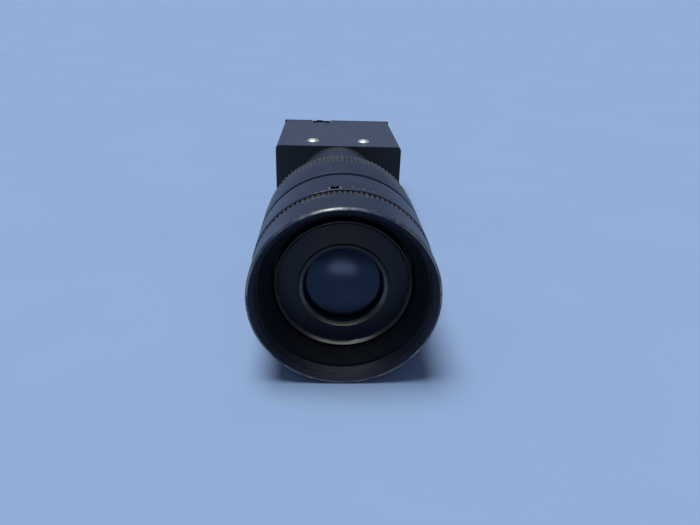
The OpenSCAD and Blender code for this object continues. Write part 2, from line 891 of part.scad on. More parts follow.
// One crescent blade; each blade lies in its own thin layer
module iris_blade(k) {
    low = iris_floor_s + iris_floor_t + 0.1 + k * blade_step;
    pin_back_s = iris_floor_s + 0.4;
    color("#3a3b3d") on_axis() rotate(60 * k) {
        translate([0, 0, low]) rotate_extrude(angle = blade_span) {
            translate([blade_in_r, 0]) square([blade_out_r - blade_in_r, blade_t]);
        }
        translate([blade_in_r + 1, 0, low]) cube([blade_pivot_r - blade_in_r - 1, blade_lug_r, blade_t]);
        translate([blade_pivot_r, 0, low]) cylinder(h = blade_t, r = blade_lug_r, $fn = 32);
        translate([blade_pivot_r, 0, pin_back_s]) {
            cylinder(h = low + blade_t - pin_back_s, r = blade_pin_r, $fn = 32);
        }
    }
}

module iris_blade_1() { iris_blade(0); }
module iris_blade_2() { iris_blade(1); }
module iris_blade_3() { iris_blade(2); }
module iris_blade_4() { iris_blade(3); }
module iris_blade_5() { iris_blade(4); }
module iris_blade_6() { iris_blade(5); }

// ---- Fixed barrel, focus ring and front cell ----

module fixed_barrel() {
    web_s = barrel_back_s + barrel_web_t;
    color("#3b3f45") on_axis() difference() {
        union() {
            bar([spigot_front_s, barrel_back_s + eps], hub_bore_r - seat);
            cone([barrel_back_s, barrel_back_s + barrel_bevel], barrel_r - barrel_bevel, barrel_r);
            bar([barrel_back_s + barrel_bevel, barrel_front_s], barrel_r);
            bar([barrel_back_s, guide_front_s], guide_out_r);
        }
        bar([spigot_front_s - eps, web_s], web_bore_r);
        bar([web_s - eps, guide_front_s + eps], guide_bore_r);
        tube([web_s, barrel_front_s + eps], barrel_bore_r, guide_out_r);
        for (angle = guide_pin_angles) rotate(angle) {
            translate([guide_bore_r - 1, -pin_r - slip, pin_s - pin_r - slip]) {
                cube([3, 2 * (pin_r + slip), focus_travel + 2 * (pin_r + slip)]);
            }
        }
        radial(lock_screw_angle, lock_screw_s, barrel_bore_r - 1, barrel_r + 1, lock_screw_r);
    }
}

module barrel_lock_screw() {
    color("#2a2b2d") on_axis() difference() {
        radial(lock_screw_angle, lock_screw_s, barrel_bore_r + slip, barrel_r - 0.6, lock_screw_r - seat);
        rotate(lock_screw_angle) driver_slot(barrel_r - 1, lock_screw_s, lock_screw_r, 0.3);
    }
}

module focus_ring() {
    knurl_back = focus_back_s + focus_step;
    knurl_front = knurl_back + focus_knurl_len;
    smooth_s = knurl_front + focus_shoulder_len;
    skirt_r = barrel_bore_r - slip;
    color("#3b3f45") on_axis() difference() {
        union() {
            bar([skirt_back_s, focus_back_s + eps], skirt_r);
            bar([focus_back_s, knurl_back + eps], shoulder_r);
            knurl([knurl_back, knurl_front], knurl_r);
            bar([knurl_front - eps, smooth_s + eps], shoulder_r);
            bar([smooth_s, rim_s], knurl_r);
        }
        bar([skirt_back_s - eps, throat_s], guide_out_r + slip);
        bar([pin_s - pin_r - 0.3, pin_s + focus_travel + pin_r + 0.3], channel_r);
        bar([throat_s - eps, throat_front_s + eps], throat_r);
        cone([throat_front_s, cone_front_s], throat_r, cone_r);
        bar([cone_front_s - eps, rim_s], filter_thread_r);
        cone([rim_s - rim_bevel, rim_s + eps], filter_thread_r, rim_inner_r);
    }
}

module focus_guide_pins() {
    color("#b9bcc0") on_axis() for (angle = guide_pin_angles) {
        radial(angle, pin_s, cell_r - 2, pin_reach_r, pin_r);
    }
}

module lens_cell() {
    color("#202225") on_axis() difference() {
        union() {
            bar([cell_back_s, cell_nose_back_s], cell_r);
            bar([cell_nose_back_s - eps, cell_front_s], cell_nose_r);
        }
        bar([cell_back_s - eps, glass_seat_s + eps], glass_r - glass_lap);
        bar([glass_seat_s, name_back_s + eps], glass_r + seat);
        bar([name_back_s, cell_front_s + eps], name_seat_r);
        cone([cell_front_s - nose_bevel, cell_front_s + eps], name_seat_r, name_seat_r + nose_bevel - 0.1);
        for (angle = guide_pin_angles) radial(angle, pin_s, cell_r - 2, cell_r + 1, pin_r);
    }
}

module name_ring() {
    edge_s = cell_front_s - nose_bevel;
    color("#1b1c1f") on_axis() rotate_extrude() polygon([
        [glass_show_r, name_back_s],
        [name_seat_r - seat, name_back_s],
        [name_seat_r - seat, edge_s],
        [bezel_r, edge_s + name_rise],
        [bezel_r - bezel_w / 2, bezel_s],
        [bezel_r - bezel_w, bezel_s],
        [glass_show_r, bezel_s - bezel_bevel]
    ]);
}

module front_element() {
    color("#5b6c8c", 0.5) on_axis() {
        convex_glass([spacer_front_s, name_back_s], glass_r, 60, front_curve_r, glass_r - glass_lap);
    }
}

module spacer_ring() {
    color("#202225") on_axis() tube([spacer_back_s, spacer_front_s], glass_r, glass_r - glass_lap);
}

module second_element() {
    color("#5b6c8c", 0.5) on_axis() {
        convex_glass([glass_seat_s, spacer_back_s], glass_r, 80, 80, glass_r - glass_lap);
    }
}

front_block();
top_cover();
base_plate();
rear_panel();
top_cover_screws();
side_cover_screws();
base_screws();
c_mount_ring();
mount_set_screws();
filter_gasket();
infrared_filter();
filter_retainer();
sensor_package();
sensor_window();
sensor_board();
main_board();
power_board();
board_spacers();
board_studs();
board_nuts();
board_connectors();
multi_pin_shell();
multi_pin_insert();
multi_pin_contacts();
multi_pin_nut();
video_socket_shell();
video_socket_insulator();
video_socket_contact();
video_socket_nut();
mode_switch_body();
mode_switch_slider();
gain_trimmer_case();
gain_trimmer_rotor();
extension_tube();
mount_barrel();
rear_cell();
rear_element();
rear_retaining_ring();
relay_element();
iris_ring();
iris_drive_screw();
iris_drive_ring();
iris_housing();
iris_cover_plate();
iris_blade_1();
iris_blade_2();
iris_blade_3();
iris_blade_4();
iris_blade_5();
iris_blade_6();
fixed_barrel();
barrel_lock_screw();
focus_ring();
focus_guide_pins();
lens_cell();
name_ring();
front_element();
spacer_ring();
second_element();
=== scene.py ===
"""Looks of a compact box camera with a manual two-ring lens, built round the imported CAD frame.

Lengths in the outlines below are millimetres; the placing matrices turn them into metres.
A point of a turned piece is (s, r): s runs along the piece's own axis and r away from it.
On the lens, s is the distance in front of the body's front face.
"""
import json
import math
from collections import namedtuple

import bmesh
import bpy
from mathutils import Euler, Matrix, Vector


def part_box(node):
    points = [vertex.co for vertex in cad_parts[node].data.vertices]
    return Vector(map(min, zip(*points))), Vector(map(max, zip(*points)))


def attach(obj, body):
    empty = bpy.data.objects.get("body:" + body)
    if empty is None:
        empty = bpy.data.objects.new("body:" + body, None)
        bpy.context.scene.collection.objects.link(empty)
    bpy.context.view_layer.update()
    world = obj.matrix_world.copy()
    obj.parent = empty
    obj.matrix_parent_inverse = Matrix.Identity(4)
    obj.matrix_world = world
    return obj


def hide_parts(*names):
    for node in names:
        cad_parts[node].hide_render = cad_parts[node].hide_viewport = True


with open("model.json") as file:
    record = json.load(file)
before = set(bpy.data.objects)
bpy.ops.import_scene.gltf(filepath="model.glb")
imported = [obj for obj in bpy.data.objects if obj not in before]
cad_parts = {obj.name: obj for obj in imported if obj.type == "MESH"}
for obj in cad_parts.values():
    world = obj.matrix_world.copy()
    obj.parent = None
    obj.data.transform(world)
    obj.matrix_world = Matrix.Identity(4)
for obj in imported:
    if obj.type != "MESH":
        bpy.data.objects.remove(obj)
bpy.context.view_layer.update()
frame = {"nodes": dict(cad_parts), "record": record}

MM = 0.001
nodes = frame["nodes"]
slot_of = {row["node"]: row["material_slot"] for row in frame["record"]["subparts"]}

# ---------------------------------------------------------------- places from the frame

FACE_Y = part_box("front_block")[0].y
AXIS_Z = (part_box("focus_ring")[0].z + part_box("focus_ring")[1].z) / 2


def ahead(y):
    """Distance of a y coordinate in front of the body's front face, in millimetres."""
    return (FACE_Y - y) / MM


def span(node):
    """(back, front) of a node along the optical axis, in millimetres in front of the face."""
    low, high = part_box(node)
    return ahead(high.y), ahead(low.y)


def radius(node):
    """Largest radius of a turned node round the optical axis, in millimetres."""
    low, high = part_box(node)
    return (high.x - low.x) / 2 / MM


IRIS_BACK, IRIS_FRONT = span("iris_ring")
SKIRT_BACK, RIM = span("focus_ring")
BARREL_INNER_BACK, GUIDE_FRONT = span("fixed_barrel")
MOUNT_FRONT = span("c_mount_ring")[1]
TUBE_BACK, TUBE_FRONT = span("extension_tube")
CELL_BACK, CELL_FRONT = span("lens_cell")
NAME_BACK, BEZEL_FRONT = span("name_ring")
BARREL_R = radius("fixed_barrel")
RIM_R = radius("focus_ring")
NECK_R = radius("c_mount_ring")
CELL_R = radius("lens_cell")
NAME_R = radius("name_ring")

# Sizes of the turned parts, as in the CAD
KNURL_TEETH = 110
TOOTH_DEPTH = 0.42
SHOULDER_R = RIM_R - 0.6
HUB_CLEAR_R = 18.55
SPIGOT_R = 16.43
WEB_LEN = 2.0
WEB_BORE_R = 13.0
BARREL_BACK = IRIS_FRONT + 0.9
BARREL_BEVEL = 1.2
FOCUS_BACK = RIM - 12.4
BARREL_FRONT = FOCUS_BACK - 0.2
BARREL_BORE_R = 20.45
SKIRT_R = 20.4
GUIDE_R = 18.2
GUIDE_BORE_R = 16.9
BARREL_WEB = BARREL_BACK + 3
PIN_S = SKIRT_BACK + 5
PIN_R = 0.85
PIN_ANGLES = (30, 150, 270)
FOCUS_TRAVEL = 2.5
CHANNEL_R = 19.5
FILTER_THREAD_R = 20.0
RIM_BEVEL = 1.2
THROAT_R = 16.7
CONE_R = 19.6
CELL_NOSE_R = 16.0
NAME_SEAT_R = 15.2
NOSE_BEVEL = 0.8
GLASS_R = 10.6
GLASS_SHOW_R = 9.4
MOUNT_THREAD_R = 12.7
LOCK_SCREW = (96, BARREL_FRONT - 1.7, 1.1)     # angle, s, radius
DRIVE_SCREW_ANGLE = 250
DRIVE_SHANK_R = 0.92
DRIVE_HEAD_R = 1.62

# How far wear has gone, from 0 to 1, on the edges of bands, on teeth and on inner lips; on band edges
# and tooth tops the lighter worn colour also paints highlights
EDGE_WEAR_AND_GLINT = 0.46
TOOTH_WEAR_AND_GLINT = 0.55
VALLEY_SHARE = 0.45      # wear and painted highlight between two teeth, as a share of that on their tops
LIP_WEAR = 1.0
# Places that hands have rubbed most, where the lighter worn colour also paints the light's highlights on
# the rim and teeth, as (angle, half width) in degrees, and the extra wear and painted highlight there
RUBBED_AND_LIT = ((36, 16), (104, 16), (160, 12))
RUB_AND_GLINT_GAIN = 0.5

# Steps round a turned mesh: wide plain rings, the neck, the front glass and drilled holes
WIDE_STEPS = 256
RING_STEPS = 192
GLASS_STEPS = 128
HOLE_STEPS = 40
SHARP_DEG = 32           # edges sharper than this stay sharp under smooth shading

# Local Z of the lens matrix runs along the optical axis to the front, local Y is up
TO_FRONT = Matrix(((1, 0, 0), (0, 0, -1), (0, 1, 0))).to_4x4()
SCALE = Matrix.Scale(MM, 4)
LENS = Matrix.Translation((0, FACE_Y, AXIS_Z)) @ TO_FRONT @ SCALE

# ---------------------------------------------------------------- materials

# Noise values between these two spread over the whole of a mottle
CLOUD_LOW, CLOUD_HIGH = 0.3, 0.7
# Share by which the roughness of a surface varies
GLOSS_SPREAD = 0.14
# Width of turning marks in millimetres, and how much plain grain is left among them
TURNING_MM = 0.09
TURNED_GRAIN = 0.35
# Worn edges, whose lighter colour also paints highlights in places: sizes of chips and of patches in
# millimetres, the weight of the vertex wear against both noises, and the sums where bare metal starts to
# show and shows fully
CHIP_MM = 0.9
PATCH_MM = 5.0
WEAR_GLINT_WEIGHT = 1.1
WEAR_GLINT_START, WEAR_GLINT_FULL = 1.42, 1.72


def node_in(tree, kind, links=None, **settings):
    """Adds a shader node. links maps an input's name or index to a value or an output socket."""
    made = tree.nodes.new(kind)
    for key, value in settings.items():
        setattr(made, key, value)
    for key, value in (links or {}).items():
        if isinstance(value, bpy.types.NodeSocket):
            tree.links.new(value, made.inputs[key])
        else:
            made.inputs[key].default_value = value
    return made


def noise(tree, vector, size_mm, detail=3.0, roughness=0.55):
    """Noise value with features about size_mm across."""
    links = {"Vector": vector, "Scale": 1 / (size_mm * MM), "Detail": detail, "Roughness": roughness}
    return node_in(tree, "ShaderNodeTexNoise", links).outputs["Fac"]


def remap(tree, value, low, high, to_low, to_high):
    """Value moved from one range to another, and kept inside it."""
    links = {"Value": value, "From Min": low, "From Max": high, "To Min": to_low, "To Max": to_high}
    return node_in(tree, "ShaderNodeMapRange", links, clamp=True).outputs["Result"]


def arithmetic(tree, operation, first, second):
    """Result of a Math node."""
    return node_in(tree, "ShaderNodeMath", {0: first, 1: second}, operation=operation).outputs[0]


def mix_colour(tree, factor, first, second):
    """First colour where the factor is 0, second where it is 1."""
    links = {"Factor": factor, 6: first, 7: second}
    return node_in(tree, "ShaderNodeMix", links, data_type="RGBA").outputs[2]


def rgba(colour, gain=1.0):
    """Colour times a gain, with full alpha."""
    return tuple(c * gain for c in colour) + (1.0,)


def turned_coordinates(tree, place, centre):
    """Vector that is the same all the way round an axis along Y through centre (x, z)."""
    kind = "ShaderNodeVectorMath"
    shifted = node_in(tree, kind, {0: place, 1: (-centre[0], 0, -centre[1])}).outputs[0]
    flat = node_in(tree, kind, {0: shifted, 1: (1, 0, 1)}, operation="MULTIPLY").outputs[0]
    away = node_in(tree, kind, {0: flat}, operation="LENGTH").outputs["Value"]
    parts = node_in(tree, "ShaderNodeSeparateXYZ", {0: place})
    return node_in(tree, "ShaderNodeCombineXYZ", {"X": away, "Y": parts.outputs["Y"]}).outputs[0]


def finish_material(
    name,
    colour,
    roughness,
    metallic=0.0,
    mottle=0.12,
    mottle_mm=4.0,
    grain_mm=0.2,
    grain_depth=0.004,
    turned=None,
    wear=None,
    worn_roughness=0.4,
    **shader,
):
    """Procedural surface: mottled colour, uneven gloss, fine grain, turning marks and edges rubbed down
    to bare metal, whose lighter colour is in places also a painted highlight.

    turned is the (x, z) centre of the turning marks, the argument after it the colour of the bare metal
    on rubbed edges, which also paints highlights where the mesh marks them, and shader holds constants
    for the Principled shader's own inputs.
    """
    made = bpy.data.materials.new(name)
    made.use_nodes = True
    tree = made.node_tree
    bsdf = tree.nodes["Principled BSDF"]
    place = node_in(tree, "ShaderNodeTexCoord").outputs["Object"]

    cloud = remap(tree, noise(tree, place, mottle_mm), CLOUD_LOW, CLOUD_HIGH, 0.0, 1.0)
    tint = mix_colour(tree, cloud, rgba(colour, 1 - mottle), rgba(colour, 1 + mottle))
    smudge = noise(tree, place, mottle_mm / 3)
    smoother = roughness * (1 - GLOSS_SPREAD)
    rougher = roughness * (1 + GLOSS_SPREAD)
    gloss = remap(tree, smudge, CLOUD_LOW, CLOUD_HIGH, smoother, rougher)
    height = noise(tree, place, grain_mm, detail=2.0)
    if turned:
        lines = noise(tree, turned_coordinates(tree, place, turned), TURNING_MM, detail=1.0)
        height = arithmetic(tree, "ADD", arithmetic(tree, "MULTIPLY", height, TURNED_GRAIN), lines)
    if wear:
        # Lighter bare-metal colour on worn edges; the same mask paints highlights on band edges and
        # tooth tops
        wear_glint_level = node_in(tree, "ShaderNodeAttribute", attribute_name="wear").outputs["Fac"]
        chips = noise(tree, place, CHIP_MM, detail=4.0)
        patches = noise(tree, place, PATCH_MM, detail=1.0)
        uneven = arithmetic(tree, "ADD", chips, patches)
        edge = arithmetic(tree, "ADD", arithmetic(tree, "MULTIPLY", wear_glint_level, WEAR_GLINT_WEIGHT), uneven)
        mask = remap(tree, edge, WEAR_GLINT_START, WEAR_GLINT_FULL, 0.0, 1.0)
        tint = mix_colour(tree, mask, tint, rgba(wear))
        change = arithmetic(tree, "MULTIPLY", mask, worn_roughness - roughness)
        gloss = arithmetic(tree, "ADD", change, gloss)
        shine = remap(tree, mask, 0.0, 1.0, metallic, 1.0)
        tree.links.new(shine, bsdf.inputs["Metallic"])
    else:
        bsdf.inputs["Metallic"].default_value = metallic
    relief = {"Height": height, "Distance": grain_depth * MM, "Strength": 1.0}
    bump = node_in(tree, "ShaderNodeBump", relief)
    tree.links.new(tint, bsdf.inputs["Base Color"])
    tree.links.new(gloss, bsdf.inputs["Roughness"])
    tree.links.new(bump.outputs["Normal"], bsdf.inputs["Normal"])
    for key, value in shader.items():
        bsdf.inputs[key.replace("_", " ")].default_value = value
    return made


def glass_material(name, colour, tint, roughness=0.02, reflection=0.15):
    """Coated glass with a weak coloured reflection and faintly uneven gloss; its colour tints what shows
    through it, clear when pale and painted shade when dark.
    """
    made = finish_material(
        name, colour, roughness, mottle=0.05, mottle_mm=6, grain_mm=4.0, grain_depth=0.00002,
    )
    bsdf = made.node_tree.nodes["Principled BSDF"]
    bsdf.inputs["Transmission Weight"].default_value = 1.0
    bsdf.inputs["IOR"].default_value = 1.52
    bsdf.inputs["Specular IOR Level"].default_value = reflection
    bsdf.inputs["Specular Tint"].default_value = rgba(tint)
    return made


def board_material(name):
    """Green circuit board with paler tracks."""
    made = finish_material(name, (0.012, 0.075, 0.035), 0.35, mottle=0.2, mottle_mm=6, grain_mm=0.6)
    tree = made.node_tree
    bsdf = tree.nodes["Principled BSDF"]
    place = node_in(tree, "ShaderNodeTexCoord").outputs["Object"]
    cell_mm = 1.6
    cells = {"Vector": place, "Scale": 1 / (cell_mm * MM), "Randomness": 0.6}
    pattern = node_in(tree, "ShaderNodeTexVoronoi", cells, feature="DISTANCE_TO_EDGE")
    tracks = pattern.outputs["Distance"]
    mask = remap(tree, tracks, 0.05, 0.09, 1.0, 0.0)
    before = bsdf.inputs["Base Color"].links[0].from_socket
    tree.links.new(mix_colour(tree, mask, before, (0.04, 0.2, 0.09, 1)), bsdf.inputs["Base Color"])
    return made


def axis_centre(node):
    """Place (x, z) of the axis of a round node that points along Y."""
    low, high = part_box(node)
    return (low.x + high.x) / 2, (low.z + high.z) / 2


LENS_CENTRE = (0.0, AXIS_Z)
VIDEO_CENTRE = axis_centre("video_socket_insulator")
# Colour of bare metal on worn edges, and of the painted highlights on band edges and tooth tops
BARE_METAL_AND_GLINT = (0.30, 0.275, 0.235)
WORN_LIP = (0.112, 0.104, 0.089)

# Settings of every opaque finish but the circuit board's, by the material's name
FINISHES = {
    "cover_paint": dict(
        colour=(0.072, 0.088, 0.140), roughness=0.52, mottle=0.07, mottle_mm=9, grain_mm=0.22,
        grain_depth=0.012, wear=(0.42, 0.42, 0.43),
    ),
    "block_black": dict(
        colour=(0.012, 0.014, 0.022), roughness=0.5, mottle=0.15, grain_mm=0.25, grain_depth=0.012,
        wear=(0.16, 0.16, 0.17),
    ),
    "base_black": dict(
        colour=(0.022, 0.024, 0.028), roughness=0.5, grain_mm=0.25, grain_depth=0.012,
        wear=(0.2, 0.2, 0.2),
    ),
    "lens_black": dict(
        colour=(0.048, 0.060, 0.100), roughness=0.42, metallic=0.2, mottle=0.1, mottle_mm=5,
        grain_mm=0.12, grain_depth=0.003, turned=LENS_CENTRE, wear=BARE_METAL_AND_GLINT,
    ),
    "inner_black": dict(
        colour=(0.007, 0.0095, 0.019), roughness=0.4, mottle=0.15, grain_mm=0.15, grain_depth=0.003,
        turned=LENS_CENTRE, wear=WORN_LIP, worn_roughness=0.32, Specular_IOR_Level=0.3,
    ),
    "cone_black": dict(
        colour=(0.007, 0.008, 0.014), roughness=0.75, mottle=0.15, grain_mm=0.2, grain_depth=0.006,
        Specular_IOR_Level=0.15,
    ),
    "bright_screw": dict(
        colour=(0.86, 0.82, 0.72), roughness=0.42, metallic=0.55, mottle=0.06, mottle_mm=1.5,
        grain_mm=0.2, grain_depth=0.002,
    ),
    "screw_steel": dict(
        colour=(0.42, 0.42, 0.41), roughness=0.32, metallic=1.0, mottle=0.1, mottle_mm=1.5,
        grain_mm=0.15, grain_depth=0.002,
    ),
    "black_screw": dict(
        colour=(0.03, 0.03, 0.034), roughness=0.35, metallic=0.6, mottle_mm=1.0, grain_mm=0.15,
        grain_depth=0.003,
    ),
    "ring_metal": dict(
        colour=(0.16, 0.165, 0.19), roughness=0.36, metallic=0.85, mottle_mm=3, grain_mm=0.12,
        grain_depth=0.003, turned=LENS_CENTRE, wear=BARE_METAL_AND_GLINT,
    ),
    "gasket_rubber": dict(
        colour=(0.02, 0.02, 0.02), roughness=0.8, grain_mm=0.15, grain_depth=0.01,
    ),
    "sensor_ceramic": dict(
        colour=(0.3, 0.24, 0.17), roughness=0.6, mottle_mm=2, grain_mm=0.1,
    ),
    "black_plastic": dict(
        colour=(0.010, 0.010, 0.013), roughness=0.6, mottle=0.15, mottle_mm=2, grain_mm=0.12,
        grain_depth=0.006, Specular_IOR_Level=0.25,
    ),
    "nickel": dict(
        colour=(0.62, 0.61, 0.58), roughness=0.3, metallic=1.0, mottle=0.05, mottle_mm=3, grain_mm=0.12,
        grain_depth=0.001, turned=VIDEO_CENTRE,
    ),
    "gold_contact": dict(
        colour=(0.83, 0.6, 0.22), roughness=0.22, metallic=1.0, mottle=0.08, mottle_mm=1, grain_mm=0.1,
        grain_depth=0.001,
    ),
    "white_insulator": dict(
        colour=(0.78, 0.77, 0.7), roughness=0.42, mottle=0.05, mottle_mm=2, grain_mm=0.2,
        grain_depth=0.003,
    ),
    "trimmer_blue": dict(
        colour=(0.03, 0.1, 0.38), roughness=0.35, mottle_mm=2, grain_mm=0.2,
    ),
    "blade_steel": dict(
        colour=(0.05, 0.05, 0.055), roughness=0.4, metallic=0.8, mottle_mm=2, grain_mm=0.1,
        grain_depth=0.002,
    ),
}
# Settings of every glass
GLASSES = {
    "filter_glass": dict(colour=(0.7, 0.9, 0.88), tint=(0.8, 0.5, 0.5)),
    "sensor_glass": dict(colour=(0.85, 0.9, 0.95), tint=(0.9, 0.95, 1.0)),
    # Dark blue tint of the front glass: painted shade standing for the dark inside of the lens
    "lens_glass": dict(
        colour=(0.07, 0.10, 0.18), tint=(0.5, 0.66, 1.0), roughness=0.2, reflection=0.05,
    ),
}

MATERIALS = {name: finish_material(name, **settings) for name, settings in FINISHES.items()}
MATERIALS["circuit_board"] = board_material("circuit_board")
for glass_name, settings in GLASSES.items():
    MATERIALS[glass_name] = glass_material(glass_name, **settings)

# Colours of the strokes: paint for the scale's strokes, and a lighter grey for the two ticks beside the
# lock screw
BRIGHT_STROKE = finish_material(
    "light_grey_ticks", (0.28, 0.28, 0.29), 0.6, mottle=0.25, mottle_mm=0.8, grain_mm=0.1, grain_depth=0.004,
)
PAINTED_STROKE = finish_material(
    "stroke_paint", (0.13, 0.14, 0.18), 0.6, mottle=0.25, mottle_mm=0.8, grain_mm=0.1, grain_depth=0.004,
)

# ---------------------------------------------------------------- mesh tools

Knurl = namedtuple("Knurl", "back front tip_r depth")


def finish_piece(name, mesh, slot, body, replaced):
    """Shades a mesh smooth with sharp corners, and makes it a piece that replaces CAD nodes."""
    mesh.shade_smooth()
    mesh.set_sharp_from_angle(angle=math.radians(SHARP_DEG))
    mesh.materials.append(MATERIALS[slot])
    piece = bpy.data.objects.new(name, mesh)
    bpy.context.scene.collection.objects.link(piece)
    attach(piece, body)
    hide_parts(*replaced)
    return piece


def rounded(corners, steps=4, guard=0.22):
    """Closed outline whose corners (s, r, round, mark) become arcs; a mark is how far an edge is rubbed
    to bare metal and painted with a highlight. Gives (s, r, mark) points.

    A guard point beside each marked arc keeps its mark from spreading over the face next to it.
    """
    points = []
    for i, corner in enumerate(corners):
        s, r, size, wear_glint_level = (tuple(corner) + (0.0, 0.0))[:4]
        here = Vector((s, r))
        if size <= 0:
            points.append((s, r, wear_glint_level))
            continue
        before = Vector(corners[i - 1][:2]) - here
        after = Vector(corners[(i + 1) % len(corners)][:2]) - here
        start = here + before.normalized() * min(size, 0.4 * before.length)
        end = here + after.normalized() * min(size, 0.4 * after.length)
        if wear_glint_level:
            unmarked = start + before.normalized() * min(guard, 0.2 * before.length)
            points.append((unmarked.x, unmarked.y, 0.0))
        for k in range(steps + 1):
            t = k / steps
            p = start.lerp(here, t).lerp(here.lerp(end, t), t)
            points.append((p.x, p.y, wear_glint_level))
        if wear_glint_level:
            unmarked = end + after.normalized() * min(guard, 0.2 * after.length)
            points.append((unmarked.x, unmarked.y, 0.0))
    return points


def rub_and_glint(angle):
    """Factor on the bare-metal edges and painted highlight at an angle round the lens, above 1 where
    hands have rubbed it and where highlights fall.
    """
    degrees = math.degrees(angle) % 360
    rub_glint_sum = sum(math.exp(-((degrees - middle) / half) ** 2) for middle, half in RUBBED_AND_LIT)
    return 1 + RUB_AND_GLINT_GAIN * rub_glint_sum


def tooth_angles():
    """Angles round a knurled ring with the height of the tooth, 0 to 1, at each."""
    shape = ((0.0, 0.0), (0.22, 0.5), (0.4, 1.0), (0.5, 1.0), (0.6, 1.0), (0.78, 0.5))
    pitch = 2 * math.pi / KNURL_TEETH
    return [((i + part) * pitch, height) for i in range(KNURL_TEETH) for part, height in shape]


def turned_mesh(name, outline, place, segments=RING_STEPS, knurl=None):
    """Ring swept round the local Z axis from a closed outline of (s, r, mark) points, where a mark is
    bare-metal edge and painted highlight.

    Between knurl.back and knurl.front the surface is cut down to the teeth, which are knurl.depth high
    below knurl.tip_r, and their tops are rubbed to bare metal and carry a painted highlight.
    """
    if knurl:
        angles = tooth_angles()
    else:
        angles = [(2 * math.pi * i / segments, 1.0) for i in range(segments)]
    bm = bmesh.new()
    wear_glint_layer = bm.verts.layers.float.new("wear")
    rings = []
    for angle, tooth in angles:
        ring = []
        for s, r, wear_glint_level in outline:
            if knurl and knurl.back < s < knurl.front and r > knurl.tip_r - 2 * knurl.depth:
                # Tooth tops get wear and a painted glint, the valleys between them less
                wear_glint_level = TOOTH_WEAR_AND_GLINT * (VALLEY_SHARE + (1 - VALLEY_SHARE) * tooth)
                r = min(r, knurl.tip_r - knurl.depth * (1 - tooth))
            vertex = bm.verts.new((r * math.cos(angle), r * math.sin(angle), s))
            # Wear and painted highlight, raised at the rubbed and lit places
            vertex[wear_glint_layer] = min(1.0, wear_glint_level * rub_and_glint(angle))
            ring.append(vertex)
        rings.append(ring)
    for i, ring in enumerate(rings):
        following = rings[(i + 1) % len(rings)]
        for j in range(len(ring)):
            k = (j + 1) % len(ring)
            bm.faces.new((ring[j], ring[k], following[k], following[j]))
    return closed_mesh(name, bm, place)


def closed_mesh(name, bm, place):
    """Welds, orients and places a bmesh, and gives it as a mesh."""
    bmesh.ops.remove_doubles(bm, verts=bm.verts, dist=1e-5)
    bmesh.ops.delete(bm, geom=[edge for edge in bm.edges if not edge.link_faces], context="EDGES")
    bmesh.ops.recalc_face_normals(bm, faces=bm.faces)
    bm.transform(place)
    mesh = bpy.data.meshes.new(name)
    bm.to_mesh(mesh)
    bm.free()
    return mesh


def cut(piece, cutters):
    """Cuts cutter meshes out of a piece for good. A cutter's material lines the cut."""
    for mesh in cutters:
        tool = bpy.data.objects.new("cutter", mesh)
        bpy.context.scene.collection.objects.link(tool)
        step = piece.modifiers.new("cut", "BOOLEAN")
        step.object = tool
        step.operation = "DIFFERENCE"
        step.solver = "EXACT"
        step.material_mode = "TRANSFER"
        bpy.context.view_layer.update()
        evaluated = piece.evaluated_get(bpy.context.evaluated_depsgraph_get())
        result = bpy.data.meshes.new_from_object(evaluated)
        piece.modifiers.remove(step)
        piece.data = result
        bpy.data.objects.remove(tool)
    return piece


def radial_place(angle_deg, s):
    """Matrix whose local Z points away from the optical axis, and local X along it."""
    turn = Matrix.Rotation(math.radians(angle_deg), 4, "Z")
    outwards = Matrix(((0, 0, 1), (0, 1, 0), (-1, 0, 0))).to_4x4()
    return LENS @ turn @ Matrix.Translation((0, 0, s)) @ outwards


def bore_cutter(profile, place, material):
    """Round cutter from (height, r) points along its local Z, lined with one material."""
    outline = [(profile[0][0], 0.0, 0.0)]
    outline += [(height, r, 0.0) for height, r in profile]
    outline.append((profile[-1][0], 0.0, 0.0))
    mesh = turned_mesh("cutter", outline, place, segments=HOLE_STEPS)
    mesh.materials.append(material)
    return mesh


def box_cutter(low, high, place, material):
    """Box-shaped cutter between two corners, lined with one material."""
    size = Vector(high) - Vector(low)
    centre = (Vector(high) + Vector(low)) / 2
    bm = bmesh.new()
    bmesh.ops.create_cube(bm, size=1.0)
    bm.transform(Matrix.Translation(centre) @ Matrix.Diagonal(size.to_4d()))
    bm.verts.layers.float.new("wear")
    mesh = closed_mesh("cutter", bm, place)
    mesh.materials.append(material)
    return mesh


# ---------------------------------------------------------------- lens pieces


